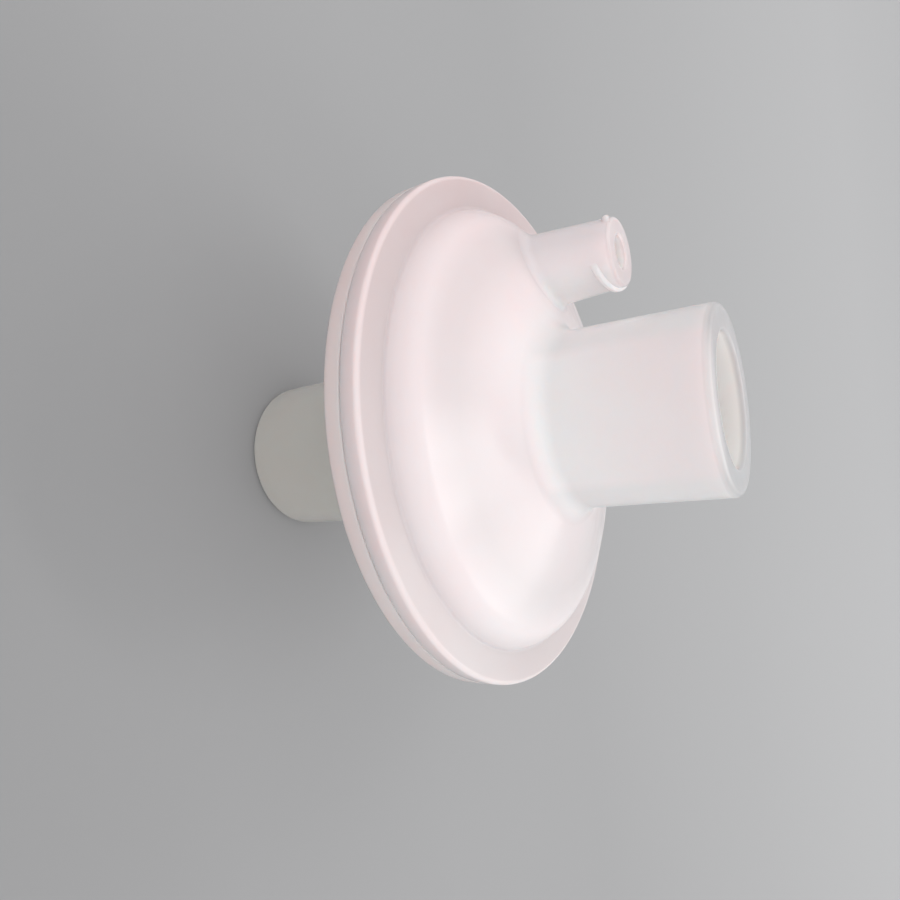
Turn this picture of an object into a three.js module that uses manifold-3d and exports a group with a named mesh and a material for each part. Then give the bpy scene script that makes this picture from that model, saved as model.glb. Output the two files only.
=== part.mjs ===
// Breathing circuit filter: two welded moulded shells clamp a disc of filter medium.
// Millimetres, +Z up. The origin is the centre of the rear port's end face, on which the filter stands.

import * as THREE from 'three';
import { mergeVertices } from 'three/addons/utils/BufferGeometryUtils.js';
import Module from 'manifold-3d';

const wasm = await Module();
wasm.setup();

// Flange: the two rims that are welded together.
const FLANGE_DIAMETER = 65;
const FLANGE_THICKNESS = 2.05;
const FLANGE_EDGE_RADIUS = 0.55;
const PARTING_GAP = 0.3;
const PARTING_EDGE_BREAK = 0.15;
const LAND_WIDTH = 4.1;

// Weld: a tongue on the rear shell stands in a groove of the front shell, just outside the medium's pocket.
const TONGUE_WIDTH = 1.2;
const TONGUE_HEIGHT = 0.7;
const TONGUE_SETBACK = 0.8;
const WELD_CLEARANCE = 0.3;

// Domes: a rounded shoulder, then a shallow cone up to the port.
const WALL = 1.6;
const SHOULDER_RADIUS = 4.2;
const SHOULDER_START_DEG = 75;
const FOOT_FILLET = 0.35;
const FRONT_CONE_DEG = 18.5;
const REAR_CONE_DEG = 24;
const PORT_FILLET = 3.2;
const NECK_FILLET = 2.4;

// Ports: 22 mm male cones with a 15 mm female socket inside, both tapering 1 in 40 on diameter.
const CONE_TAPER = 1 / 40;
const MALE_TIP_DIAMETER = 21.95;
const MALE_TIP_ROUND = 0.7;
const SOCKET_MOUTH_DIAMETER = 15.5;
const SOCKET_DEPTH = 16;
const SOCKET_CHAMFER = 0.4;
const NECK_DIAMETER = 12.6;
const FRONT_PORT_REACH = 26.8;
const REAR_PORT_REACH = 34.9;

// Filter medium: a felt disc whose edge lies in the pocket between the shells.
const MEDIUM_THICKNESS = 1.6;
const MEDIUM_EDGE_ROUND = 0.3;
const MEDIUM_EDGE_CLEARANCE = 0.3;
const CLAMP_CLEARANCE = 0.2;
const POCKET_INSET = 0.1;

// Ribs that keep the medium off the domes and spread the flow.
const RIB_COUNT = 18;
const RIB_THICKNESS = 1;
const RIB_CLEARANCE = 0.3;
const RIB_START_RADIUS = 12;

// Gas sampling port: a female luer lock with a 6 % taper and two thread lugs.
const LUER_INSET = 7.4;
const LUER_ANGLE_DEG = 166;
const LUER_REACH = 15;
const LUER_TIP_DIAMETER = 8.8;
const LUER_DRAFT_DEG = 3.4;
const LUER_FILLET = 1.2;
const LUER_TIP_ROUND = 0.35;
const LUER_MOUTH_DIAMETER = 4.3;
const LUER_TAPER = 0.06;
const LUER_SOCKET_DEPTH = 8;
const LUER_HOLE_DIAMETER = 2.6;
const LUG_HEIGHT = 0.4;
const LUG_WIDTH = 1;
const LUG_DEPTH = 1.5;
const LUG_SPAN_DEG = 110;
const LUG_TILT_DEG = 12;

const ROUND_SEGMENTS = 56;
const LUER_SEGMENTS = 28;

const flangeRadius = FLANGE_DIAMETER / 2;
const flangeFace = PARTING_GAP / 2 + FLANGE_THICKNESS;
const footRadius = flangeRadius - LAND_WIDTH;
const pocketRadius = footRadius + POCKET_INSET;
const mediumRadius = pocketRadius - MEDIUM_EDGE_CLEARANCE;
const clampFace = MEDIUM_THICKNESS / 2 + CLAMP_CLEARANCE;
const tongueRadius = pocketRadius + TONGUE_SETBACK + TONGUE_WIDTH / 2;
const luerAxisR = footRadius - LUER_INSET;
const overlap = 0.6;
const rad = THREE.MathUtils.degToRad;

// Points along an arc in the section plane, from angle a0 to a1 in degrees.
function arc(centreR, centreZ, radius, a0, a1, steps) {
  const points = [];
  for (let i = 0; i <= steps; i += 1) {
    const a = rad(a0 + (a1 - a0) * (i / steps));
    points.push(new THREE.Vector2(centreR + radius * Math.cos(a), centreZ + radius * Math.sin(a)));
  }
  return points;
}

function at(r, z) {
  return new THREE.Vector2(r, z);
}

// A geometry as a manifold solid.
function solid(geometry) {
  const bare = geometry.index ? geometry.toNonIndexed() : geometry.clone();
  bare.deleteAttribute('normal');
  bare.deleteAttribute('uv');
  const merged = mergeVertices(bare, 1e-4);
  return new wasm.Manifold(new wasm.Mesh({
    numProp: 3,
    vertProperties: new Float32Array(merged.attributes.position.array),
    triVerts: new Uint32Array(merged.index.array),
  }));
}

// A section turned about the Z axis; a hollow section repeats its first point at the end.
function turned(points, segments = ROUND_SEGMENTS) {
  return solid(new THREE.LatheGeometry(points, segments).rotateX(Math.PI / 2));
}

function closedLoop(points) {
  return [...points, points[0].clone()];
}

// A solid as a geometry for a mesh.
function geometryOf(manifold) {
  const mesh = manifold.getMesh();
  const geometry = new THREE.BufferGeometry();
  const positions = new Float32Array(mesh.numVert * 3);
  for (let i = 0; i < mesh.numVert; i += 1) {
    for (let k = 0; k < 3; k += 1) {
      positions[i * 3 + k] = mesh.vertProperties[i * mesh.numProp + k];
    }
  }
  geometry.setAttribute('position', new THREE.BufferAttribute(positions, 3));
  geometry.setIndex(new THREE.BufferAttribute(new Uint32Array(mesh.triVerts), 1));
  geometry.computeVertexNormals();
  return geometry;
}

// Where a dome's outer cone starts, and how high it is at a radius. Heights are above the parting plane.
function domeForm(coneDeg) {
  const start = rad(SHOULDER_START_DEG);
  const slope = rad(coneDeg);
  const centreR = footRadius - SHOULDER_RADIUS * Math.sin(start);
  const centreZ = flangeFace - SHOULDER_RADIUS * Math.cos(start);
  const topR = centreR + SHOULDER_RADIUS * Math.sin(slope);
  const topZ = centreZ + SHOULDER_RADIUS * Math.cos(slope);
  const heightAt = (r) => topZ + (topR - r) * Math.tan(slope);
  const arcHeightAt = (r) => centreZ + Math.sqrt(Math.max(SHOULDER_RADIUS ** 2 - (r - centreR) ** 2, 0));
  const outerAt = (r) => (r < topR ? heightAt(r) : Math.max(arcHeightAt(r), flangeFace));
  return { slope, coneDeg, centreR, centreZ, heightAt, outerAt };
}

function portRadiusAt(z, tipZ) {
  return MALE_TIP_DIAMETER / 2 + (tipZ - z) * CONE_TAPER / 2;
}

// The outside from the flange's edge up to the port's end face.
function outerSection(dome, tipZ) {
  const filletR = portRadiusAt(dome.heightAt(0), tipZ) + PORT_FILLET;
  const tangentR = filletR - PORT_FILLET * Math.sin(dome.slope);
  const filletZ = dome.heightAt(tangentR) + PORT_FILLET * Math.cos(dome.slope);
  const edgeR = flangeRadius - FLANGE_EDGE_RADIUS;
  const edgeZ = flangeFace - FLANGE_EDGE_RADIUS;
  const roundR = portRadiusAt(tipZ, tipZ) - MALE_TIP_ROUND;
  const footZ = flangeFace + FOOT_FILLET;
  const footR = dome.centreR + Math.sqrt((SHOULDER_RADIUS + FOOT_FILLET) ** 2 - (footZ - dome.centreZ) ** 2);
  const footDeg = THREE.MathUtils.radToDeg(Math.atan2(footZ - dome.centreZ, footR - dome.centreR));
  return [
    at(flangeRadius - PARTING_EDGE_BREAK, PARTING_GAP / 2),
    at(flangeRadius, PARTING_GAP / 2 + PARTING_EDGE_BREAK),
    ...arc(edgeR, edgeZ, FLANGE_EDGE_RADIUS, 0, 90, 3),
    ...arc(footR, footZ, FOOT_FILLET, 270, 180 + footDeg, 1),
    ...arc(dome.centreR, dome.centreZ, SHOULDER_RADIUS, footDeg, 90 - dome.coneDeg, 6).slice(1),
    ...arc(filletR, filletZ, PORT_FILLET, 270 - dome.coneDeg, 180, 6),
    ...arc(roundR, tipZ - MALE_TIP_ROUND, MALE_TIP_ROUND, 0, 90, 4),
  ];
}

// The inside from the port's mouth down to the clamp face that presses on the medium's edge.
function innerSection(dome, tipZ) {
  const mouthR = SOCKET_MOUTH_DIAMETER / 2;
  const floorZ = tipZ - SOCKET_DEPTH;
  const neckR = NECK_DIAMETER / 2;
  const wallShift = WALL / Math.cos(dome.slope);
  const filletR = neckR + NECK_FILLET;
  const tangentR = filletR - NECK_FILLET * Math.sin(dome.slope);
  const filletZ = dome.heightAt(tangentR) - wallShift + NECK_FILLET * Math.cos(dome.slope);
  const innerShoulder = SHOULDER_RADIUS - WALL;
  return [
    at(mouthR + SOCKET_CHAMFER, tipZ),
    at(mouthR, tipZ - SOCKET_CHAMFER),
    at(mouthR - SOCKET_DEPTH * CONE_TAPER / 2, floorZ),
    at(neckR, floorZ),
    ...arc(filletR, filletZ - 2 * NECK_FILLET * Math.cos(dome.slope), NECK_FILLET, 180, 90 - dome.coneDeg, 4),
    ...arc(dome.centreR, dome.centreZ, innerShoulder, 90 - dome.coneDeg, 90 - SHOULDER_START_DEG, 4),
    at(footRadius - WALL, clampFace),
    at(pocketRadius, clampFace),
    at(pocketRadius, PARTING_GAP / 2),
  ];
}

// Radial plates from the dome's wall down to just above the medium.
function ribs(dome) {
  const outerR = footRadius - WALL + overlap;
  const lowZ = MEDIUM_THICKNESS / 2 + RIB_CLEARANCE;
  const midWall = (r) => dome.heightAt(r) - WALL / 2;
  const shoulderR = dome.centreR;
  const plate = new THREE.Shape([
    at(RIB_START_RADIUS, lowZ),
    at(outerR, lowZ),
    at(outerR, flangeFace),
    at(shoulderR, midWall(shoulderR)),
    at(RIB_START_RADIUS, midWall(RIB_START_RADIUS)),
  ]);
  const geometry = new THREE.ExtrudeGeometry(plate, { depth: RIB_THICKNESS, bevelEnabled: false });
  geometry.translate(0, 0, -RIB_THICKNESS / 2);
  geometry.rotateX(Math.PI / 2);
  const one = solid(geometry);
  let all = one;
  for (let i = 1; i < RIB_COUNT; i += 1) {
    all = all.add(one.rotate([0, 0, (i * 360) / RIB_COUNT]));
  }
  return all;
}

// What both shells share: a turned wall with its port, and the ribs inside.
function plainShell(dome, portReach) {
  const tipZ = flangeFace + portReach;
  const wall = turned(closedLoop([...outerSection(dome, tipZ), ...innerSection(dome, tipZ)]));
  return wall.add(ribs(dome));
}

// A ring of rectangular section about the Z axis.
function ring(innerR, outerR, lowZ, highZ) {
  return turned(closedLoop([at(outerR, lowZ), at(outerR, highZ), at(innerR, highZ), at(innerR, lowZ)]));
}

function luerRadiusAt(z, tipZ) {
  return LUER_TIP_DIAMETER / 2 + (tipZ - z) * Math.tan(rad(LUER_DRAFT_DEG));
}

// One lug: a tilted ring, kept only on one side, so that it climbs like a right-hand thread.
function luerLug(tipZ, turnDeg) {
  const inner = LUER_TIP_DIAMETER / 2 - overlap;
  const body = luerRadiusAt(tipZ - LUG_DEPTH, tipZ);
  const outer = body + LUG_HEIGHT;
  const half = LUG_WIDTH / 2;
  const section = closedLoop([
    at(inner, -half),
    at(body, -half),
    at(outer, -half / 2),
    at(outer, half / 2),
    at(body, half),
    at(inner, half),
  ]);
  const reach = outer * 2;
  const halfSpread = reach * Math.tan(rad(LUG_SPAN_DEG / 2));
  const wedge = new THREE.Shape([at(0, 0), at(reach, -halfSpread), at(reach, halfSpread)]);
  const sector = new THREE.ExtrudeGeometry(wedge, { depth: reach, bevelEnabled: false });
  const lug = turned(section, LUER_SEGMENTS).rotate([LUG_TILT_DEG, 0, 0]);
  const kept = lug.intersect(solid(sector.translate(0, 0, -reach / 2)));
  return kept.rotate([0, 0, turnDeg]).translate([0, 0, tipZ - LUG_DEPTH]);
}

// The fillet at the luer's foot: a turned flare, draped over the dome on which the port stands.
function luerFoot(dome, tipZ) {
  const bodyR = luerRadiusAt(dome.heightAt(luerAxisR), tipZ);
  const filletR = bodyR + LUER_FILLET;
  const flare = new THREE.LatheGeometry([
    at(0, -WALL / 2),
    at(filletR, -WALL / 2),
    ...arc(filletR, LUER_FILLET, LUER_FILLET, 268, 180, 6),
    at(0, LUER_FILLET),
  ], LUER_SEGMENTS).rotateX(Math.PI / 2);
  const vertices = flare.attributes.position;
  for (let i = 0; i < vertices.count; i += 1) {
    const x = vertices.getX(i);
    const y = vertices.getY(i);
    const z = vertices.getZ(i) + dome.outerAt(Math.hypot(luerAxisR + x, y));
    const spread = luerRadiusAt(z, tipZ) / bodyR;
    vertices.setXYZ(i, x * spread, y * spread, z);
  }
  return solid(flare);
}

// The room under the middle of the dome's wall.
function domeCore(dome) {
  const half = WALL / 2;
  return turned([
    at(0, 0),
    at(footRadius - half, 0),
    ...arc(dome.centreR, dome.centreZ, SHOULDER_RADIUS - half, 90 - SHOULDER_START_DEG, 90 - dome.coneDeg, 5),
    at(0, dome.heightAt(0) - half / Math.cos(dome.slope)),
  ]);
}

// The outside of the gas sampling port, down to the middle of the dome's wall.
function luerBody(dome, tipZ) {
  const tipR = LUER_TIP_DIAMETER / 2;
  const body = turned([
    at(0, flangeFace),
    at(luerRadiusAt(flangeFace, tipZ), flangeFace),
    ...arc(tipR - LUER_TIP_ROUND, tipZ - LUER_TIP_ROUND, LUER_TIP_ROUND, 0, 90, 2),
    at(0, tipZ),
  ], LUER_SEGMENTS);
  const outside = body.add(luerFoot(dome, tipZ)).add(luerLug(tipZ, 0)).add(luerLug(tipZ, 180));
  return outside.subtract(domeCore(dome).translate([-luerAxisR, 0, 0]));
}

// The luer's tapered socket, then a narrow hole through the dome.
function luerBore(tipZ) {
  const mouthR = LUER_MOUTH_DIAMETER / 2;
  const floorZ = tipZ - LUER_SOCKET_DEPTH;
  const holeR = LUER_HOLE_DIAMETER / 2;
  return turned([
    at(0, 0),
    at(holeR, 0),
    at(holeR, floorZ),
    at(mouthR - LUER_SOCKET_DEPTH * LUER_TAPER / 2, floorZ),
    at(mouthR, tipZ),
    at(mouthR, tipZ + overlap),
    at(0, tipZ + overlap),
  ], LUER_SEGMENTS);
}

function frontShell() {
  const dome = domeForm(FRONT_CONE_DEG);
  const tipZ = flangeFace + LUER_REACH;
  const onDome = (piece) => piece.translate([luerAxisR, 0, 0]).rotate([0, 0, LUER_ANGLE_DEG]);
  const halfGroove = TONGUE_WIDTH / 2 + WELD_CLEARANCE;
  const grooveTop = TONGUE_HEIGHT - PARTING_GAP / 2 + WELD_CLEARANCE;
  const groove = ring(tongueRadius - halfGroove, tongueRadius + halfGroove, -PARTING_GAP, grooveTop);
  return plainShell(dome, FRONT_PORT_REACH)
    .add(onDome(luerBody(dome, tipZ)))
    .subtract(onDome(luerBore(tipZ)))
    .subtract(groove);
}

function rearShell() {
  const dome = domeForm(REAR_CONE_DEG);
  const halfTongue = TONGUE_WIDTH / 2;
  const tongueTop = PARTING_GAP / 2 - TONGUE_HEIGHT;
  const rootZ = PARTING_GAP / 2 + FLANGE_THICKNESS / 3;
  const tongue = ring(tongueRadius - halfTongue, tongueRadius + halfTongue, tongueTop, rootZ);
  return plainShell(dome, REAR_PORT_REACH).add(tongue);
}

function filterMedium() {
  const half = MEDIUM_THICKNESS / 2;
  const edgeR = mediumRadius - MEDIUM_EDGE_ROUND;
  const edgeZ = half - MEDIUM_EDGE_ROUND;
  return turned([
    at(0, -half),
    ...arc(edgeR, -edgeZ, MEDIUM_EDGE_ROUND, 270, 360, 2),
    ...arc(edgeR, edgeZ, MEDIUM_EDGE_ROUND, 0, 90, 2),
    at(0, half),
  ]);
}

function finish(color, roughness) {
  return new THREE.MeshStandardMaterial({ color, roughness, metalness: 0 });
}

function piece(name, manifold, material) {
  const mesh = new THREE.Mesh(geometryOf(manifold), material);
  mesh.name = name;
  return mesh;
}

const filter = new THREE.Group();
filter.position.z = flangeFace + REAR_PORT_REACH;

const front = piece('front_shell', frontShell(), finish(0xefe2e0, 0.35));
filter.add(front);

const rear = piece('rear_shell', rearShell(), finish(0xe6dcd8, 0.35));
rear.rotation.x = Math.PI;
filter.add(rear);

filter.add(piece('filter_medium', filterMedium(), finish(0xf6f4ef, 0.95)));

const part = new THREE.Group();
part.add(filter);

export default part;
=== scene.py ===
"""Breathing circuit filter: two welded milky shells round a disc of felt, on a grey sweep.

The shells are turned and joined in mesh code in the same metres as the packed CAD frame.
"""

import math

import bmesh
import bpy
from mathutils import Matrix, Vector


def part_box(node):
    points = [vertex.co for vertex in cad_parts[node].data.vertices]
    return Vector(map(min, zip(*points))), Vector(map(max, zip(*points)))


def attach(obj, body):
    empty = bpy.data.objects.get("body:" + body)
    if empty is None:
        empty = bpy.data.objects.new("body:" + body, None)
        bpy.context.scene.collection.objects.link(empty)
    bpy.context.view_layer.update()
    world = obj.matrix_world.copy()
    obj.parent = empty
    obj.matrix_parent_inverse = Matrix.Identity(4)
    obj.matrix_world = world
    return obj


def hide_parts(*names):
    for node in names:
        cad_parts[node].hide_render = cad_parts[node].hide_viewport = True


bl_info = {
    "name": "Breathing Circuit Filter",
    "version": (1, 0, 0),
    "blender": (4, 5, 0),
    "location": "View3D > Sidebar > Filter",
    "description": "Builds a welded breathing circuit filter and its studio stage",
    "category": "Object",
}

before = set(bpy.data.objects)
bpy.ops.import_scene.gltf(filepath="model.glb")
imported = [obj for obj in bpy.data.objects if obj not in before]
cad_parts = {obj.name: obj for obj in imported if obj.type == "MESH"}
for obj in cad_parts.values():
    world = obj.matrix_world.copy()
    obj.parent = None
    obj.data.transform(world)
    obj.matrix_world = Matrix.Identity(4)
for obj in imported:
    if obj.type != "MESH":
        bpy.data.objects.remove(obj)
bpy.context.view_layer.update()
FRONT_LOW, FRONT_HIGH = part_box("front_shell")
REAR_LOW, REAR_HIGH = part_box("rear_shell")
FELT_LOW, FELT_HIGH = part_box("filter_medium")

MM = 0.001
TURN_STEPS = 180
LUER_STEPS = 96
LUG_STEPS = 40
BORE_STEPS = 64
RIB_STEPS = 12
SMOOTH_ANGLE = math.radians(32)
# The round on the felt's edge, as a share of its thickness.
FELT_ROUND = 0.3

# Slopes in degrees: of each dome's cone, and of the shoulder where it meets the flat ring.
FRONT_CONE = 18.5
REAR_CONE = 24
SHOULDER_START = 75

# The plastic's tints in the node group and the front shell's colour for each: on the body, then on its port.
# Each tint holds painted light and shade: lighter or darker by how the lamps fall on that place.
BODY_TINTS = {
    "Small Port": "small",
    "Small Port Side": "small_side_painted_light",
    "Small Bore": "small_bore_painted_light",
    "Small End": "small_end_painted_shade",
    "Dome": "dome",
    "Shoulder": "shoulder_painted_light",
    "Land": "land_painted_shade",
    "Rim": "rim",
}
PORT_TINTS = {
    "Port Foot": "foot",
    "Port Foot Side": "foot_side_painted_shade",
    "Port": "port",
    "Port Side": "port_side_painted_shade",
    "Port Tip": "tip",
    "Bore": "bore_painted_shade",
    "Port End": "end",
    "Port End Far": "end_far_painted_shade",
}
# The soft border of each tint, in millimetres: where it begins and where the tint is full.
BORDERS = {
    "Small Port": (6.2, 5.2),
    "Small Port Side": (-22.5, -17.0),
    "Small Bore": (2.45, 2.25),
    "Small End": (0.0, 0.5),
    "Shoulder": (21.5, 26.5),
    "Land": (28.3, 28.8),
    "Rim": (31.9, 32.4),
    "Port Foot": (24.0, 13.5),
    "Port Foot Side": (-8.0, 8.0),
    "Port": (13.0, 11.6),
    "Port Side": (7.2, 8.4),
    "Port Tip": (0.0, 13.0),
    "Bore": (8.15, 7.85),
    "Port End": (0.05, 0.7),
    "Port End Far": (-10.0, -7.0),
}
# Above the front shell's lowest face: where the painted shade on the small port's end and on the port's tip
# begins.
SMALL_END_RISE = 16.5 * MM
PORT_TIP_RISE = 12.5 * MM
# Under the front port's end face: where the painted shade on its end begins.
PORT_END_DEPTH = 0.9 * MM

WORLD_LEVEL = 1.45
# Name, direction round the filter and above the floor in degrees, distance, length and width, and watts.
STUDIO_LAMPS = (
    ("front box", -60, 40, 1.6, 1.2, 1.2, 1.25),
    ("back box", 56, 44, 1.3, 0.6, 0.6, 2.0),
    ("high strip", 69.6, 71.8, 1.3, 0.6, 0.1, 1.15),
)
LAMP_COLOUR = (1.0, 0.99, 0.98)
LAMP_AIM = (0, 0, 35 * MM)
# Along the lamps' length: from over the filter down towards its right.
STRIP_RUN = (0.44, 0.105, -0.083)

# The sweep's front edge, where it starts to bend up, the bend's radius and last angle, and half its width.
SWEEP_FRONT = -1.2
SWEEP_BEND = 0.1
SWEEP_RADIUS = 0.35
SWEEP_LAST_ANGLE = 327
SWEEP_STEPS = 24
SWEEP_HALF_WIDTH = 1.6
# How the sweep's grey changes: the span in metres along its floor and up its bend, then place and level.
SWEEP_FADE_SPAN = (-0.05, 0.4)
SWEEP_FADE = ((0.0, 0.885), (0.06, 0.97), (0.17, 1.012), (0.33, 1.023), (0.65, 1.145), (1.0, 1.335))
# A painted pool of light on the floor round the filter, which lightens its shadow: its middle, its reach and
# what it adds.
PAINTED_LIGHT_POOL_MIDDLE = (-4 * MM, -5 * MM, 0)
PAINTED_LIGHT_POOL_REACH = 61 * MM
PAINTED_LIGHT_POOL_GAIN = 0.25


def length(name, description, default):
    return bpy.props.FloatProperty(
        name=name, description=description, default=default, precision=5, subtype="DISTANCE", unit="LENGTH"
    )


def angle(name, description, degrees):
    return bpy.props.FloatProperty(
        name=name, description=description, default=math.radians(degrees), subtype="ANGLE", unit="ROTATION"
    )


def share(name, description, default):
    return bpy.props.FloatProperty(
        name=name, description=description, default=default, min=0, max=1, subtype="FACTOR"
    )


def plain(name, description, default):
    return bpy.props.FloatProperty(name=name, description=description, default=default)


def colour(name, description, default):
    return bpy.props.FloatVectorProperty(
        name=name, description=description, default=default, size=3, min=0, max=1, subtype="COLOR"
    )


class HousingSizes(bpy.types.PropertyGroup):
    """Sizes that the two shells share"""

    flange_diameter: length("Flange Diameter", "Across the welded rim", FRONT_HIGH.x - FRONT_LOW.x)
    flange_thickness: length("Flange Thickness", "Of one shell's rim", 2.05 * MM)
    rim_edge: length("Rim Edge Radius", "Round on the rim's outer edge", 0.55 * MM)
    parting_gap: length("Parting Gap", "Between the two moulded rims before they are welded", 0.3 * MM)
    parting_line: length("Parting Line", "Left open between the welded rims", 0.08 * MM)
    parting_edge: length("Parting Edge Radius", "Round on each side of the parting line", 0.14 * MM)
    land_width: length("Land Width", "Flat ring between the rim's edge and the dome", 4.1 * MM)
    foot_fillet: length("Foot Fillet", "Where the dome rises off the land", 0.35 * MM)
    wall: length("Wall", "Thickness of the dome", 1.6 * MM)
    shoulder_radius: length("Shoulder Radius", "Round between the dome's side and its cone", 4.2 * MM)
    port_fillet: length("Port Fillet", "Where the port rises off the cone", 3.2 * MM)
    neck_fillet: length("Neck Fillet", "Where the dome's inside turns into the neck", 2.4 * MM)
    clamp_clearance: length("Clamp Clearance", "Between the felt and each shell", 0.2 * MM)
    pocket_clearance: length("Pocket Clearance", "Round the felt's edge", 0.3 * MM)


class WeldSizes(bpy.types.PropertyGroup):
    """Tongue of the rear shell and groove of the front one"""

    inset: length("Inset", "From the rim's edge to the tongue", 2.0 * MM)
    width: length("Width", "Of the tongue", 1.2 * MM)
    height: length("Height", "Of the tongue above the rear rim", 0.7 * MM)
    clearance: length("Clearance", "Between tongue and groove", 0.3 * MM)


class PortSizes(bpy.types.PropertyGroup):
    """22 mm male cone with a 15 mm socket"""

    tip_diameter: length("Tip Diameter", "Outside of the port at its end", 21.95 * MM)
    tip_round: length("Tip Round", "Round on the outer edge of the end", 0.7 * MM)
    mouth_diameter: length("Mouth Diameter", "Of the socket at the end face", 15.5 * MM)
    mouth_round: length("Mouth Round", "Round on the socket's mouth", 0.4 * MM)
    socket_depth: length("Socket Depth", "From the end face to the step", 16 * MM)
    neck_diameter: length("Neck Diameter", "Of the bore behind the step", 12.6 * MM)
    taper: share("Taper", "Fall of the diameter along the cone", 1 / 40)


class RibSizes(bpy.types.PropertyGroup):
    """Radial ribs inside each dome"""

    count: bpy.props.IntProperty(name="Count", description="Ribs in each dome", default=18, min=3)
    thickness: length("Thickness", "Of one rib", 1.0 * MM)
    start_radius: length("Start Radius", "Where the ribs begin", 12 * MM)
    clearance: length("Clearance", "Between the ribs and the felt", 0.3 * MM)


class SamplingSizes(bpy.types.PropertyGroup):
    """Luer lock port on the front dome"""

    axis_radius: length("Axis Radius", "From the filter's axis to the port's axis", 21 * MM)
    axis_angle: angle("Axis Angle", "Round the filter's axis", 166)
    reach: length("Reach", "From the front flange face to the port's end", 15 * MM)
    tip_diameter: length("Tip Diameter", "Outside of the port at its end", 8.8 * MM)
    tip_round: length("Tip Round", "Round on the end's outer edge", 0.35 * MM)
    draft: angle("Draft", "Slope of the port's outside", 3.4)
    foot_fillet: length("Foot Fillet", "Where the port rises off the dome", 1.2 * MM)
    mouth_diameter: length("Mouth Diameter", "Of the luer socket", 4.3 * MM)
    socket_taper: share("Socket Taper", "Fall of the socket's diameter", 0.06)
    socket_depth: length("Socket Depth", "Of the tapered socket", 8 * MM)
    hole_diameter: length("Hole Diameter", "Of the hole through the dome", 2.6 * MM)
    lug_height: length("Lug Height", "Of a thread lug above the port", 0.4 * MM)
    lug_width: length("Lug Width", "Along the port", 1.0 * MM)
    lug_depth: length("Lug Depth", "From the end face to a lug's middle", 1.5 * MM)
    lug_span: angle("Lug Span", "Round the port", 110)
    lug_lead: angle("Lug Lead", "Slope of the thread", 12)


class PlasticLook(bpy.types.PropertyGroup):
    """Milky polypropylene, with painted light and shade in its tints"""

    # Painted light and shade on the sampling port: its side towards the large port is painted lighter than
    # its outer side, its bore lighter still, and its end face darker.
    small: colour("Small Port Tint", "Of the sampling port's outer side", (0.82, 0.82, 0.835))
    small_side_painted_light: colour("Small Port Side Tint", "Of the sampling port's inner side", (1.0, 0.99, 1.0))
    small_bore_painted_light: colour("Small Bore Tint", "Inside the sampling port", (1.0, 1.0, 1.0))
    small_end_painted_shade: colour("Small End Tint", "Of the sampling port's end face", (0.67, 0.65, 0.66))
    # Painted light and shade on the body: the dome, which faces the lamps, is painted darker than the port,
    # the shoulder and the rim's edge lighter, and the flat ring, which nothing white backs, darker still.
    dome: colour("Dome Tint", "Where the felt lies close behind the wall", (0.688, 0.666, 0.672))
    shoulder_painted_light: colour("Shoulder Tint", "Of the round edge from dome to flat ring", (0.795, 0.757, 0.767))
    land_painted_shade: colour("Land Tint", "Of the flat ring, which nothing white backs", (0.622, 0.575, 0.579))
    rim: colour("Rim Tint", "Of the rim's outer edge", (0.803, 0.745, 0.75))
    # Painted light round the port's foot, where the port shades the dome, turned to painted shade on its side
    # away from the sampling port, which faces the lamps.
    foot: colour("Port Foot Tint", "Where the dome thickens into the port", (0.945, 0.905, 0.915))
    foot_side_painted_shade: colour("Port Foot Side Tint", "The same, away from the sampling port", (0.775, 0.74, 0.75))
    # Painted light and shade on the large port: its side is painted lighter than the dome, greyer on its
    # sides along X where its thick wall is seen edge-on, darker towards its tip and in its bore, and darkest
    # on its end face, most on its far side.
    port: colour("Port Tint", "Of the thick hollow cone", (0.995, 0.94, 0.945))
    port_side_painted_shade: colour("Port Side Tint", "Of the cone beside its bore", (0.865, 0.885, 0.89))
    tip: colour("Port Tip Tint", "Of the cone's last third", (0.905, 0.885, 0.893))
    end: colour("Port End Tint", "Of the cone's end, on its near side", (0.64, 0.65, 0.655))
    end_far_painted_shade: colour("Port End Far Tint", "Of the cone's end, on its far side", (0.50, 0.52, 0.53))
    bore_painted_shade: colour("Bore Tint", "Inside the large port", (0.87, 0.9, 0.885))
    # Painted shade: the side away from the lamps, towards the sampling port, is painted pinker.
    shade_pink_lean: share("Lean", "How much pinker the plastic is towards the sampling port's side", 0.08)
    cast: share("Warm Cast", "How far faint clouds turn the plastic pink", 0.03)
    roughness: share("Roughness", "Of the moulded skin", 0.22)
    front_clearness: share("Front Clearness", "How much light goes through the front shell", 0.2)
    rear_clearness: share("Rear Clearness", "How much light goes through the rear shell", 0.3)
    rear_rim: colour("Rear Rim Tint", "Of the rear shell's rim and dome", (0.905, 0.808, 0.798))
    # Painted shade: the rear shell's cone, which stands in the disc's shade, is painted darker and greyer
    # than its rim.
    rear_port_painted_shade: colour("Rear Port Tint", "Of the rear shell's cone", (0.652, 0.669, 0.632))
    scatter_depth: length("Scatter Depth", "How far light spreads in the plastic", 1.2 * MM)


class StageLook(bpy.types.PropertyGroup):
    """Sweep, lamps and camera"""

    sweep: colour("Sweep Colour", "Tint of the floor and backdrop", (0.2645, 0.265, 0.2695))
    backdrop: colour("Backdrop Colour", "Seen past the end of the sweep", (0.5, 0.505, 0.5))
    camera_distance: length("Camera Distance", "From the front flange face's centre", 89.2725 * MM)
    camera_height: angle("Camera Elevation", "Above the horizon", 26.476)
    camera_roll: angle("Camera Roll", "Turn of the camera about its own axis", 82.557)
    aim_right: plain("Aim Right", "Tangent of the flange's place right of centre", 0.1021)
    aim_up: plain("Aim Up", "Tangent of the flange's place above centre", 0.03397)
    focal: plain("Focal Length", "In millimetres on a 36 mm sensor", 26.7)


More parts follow.
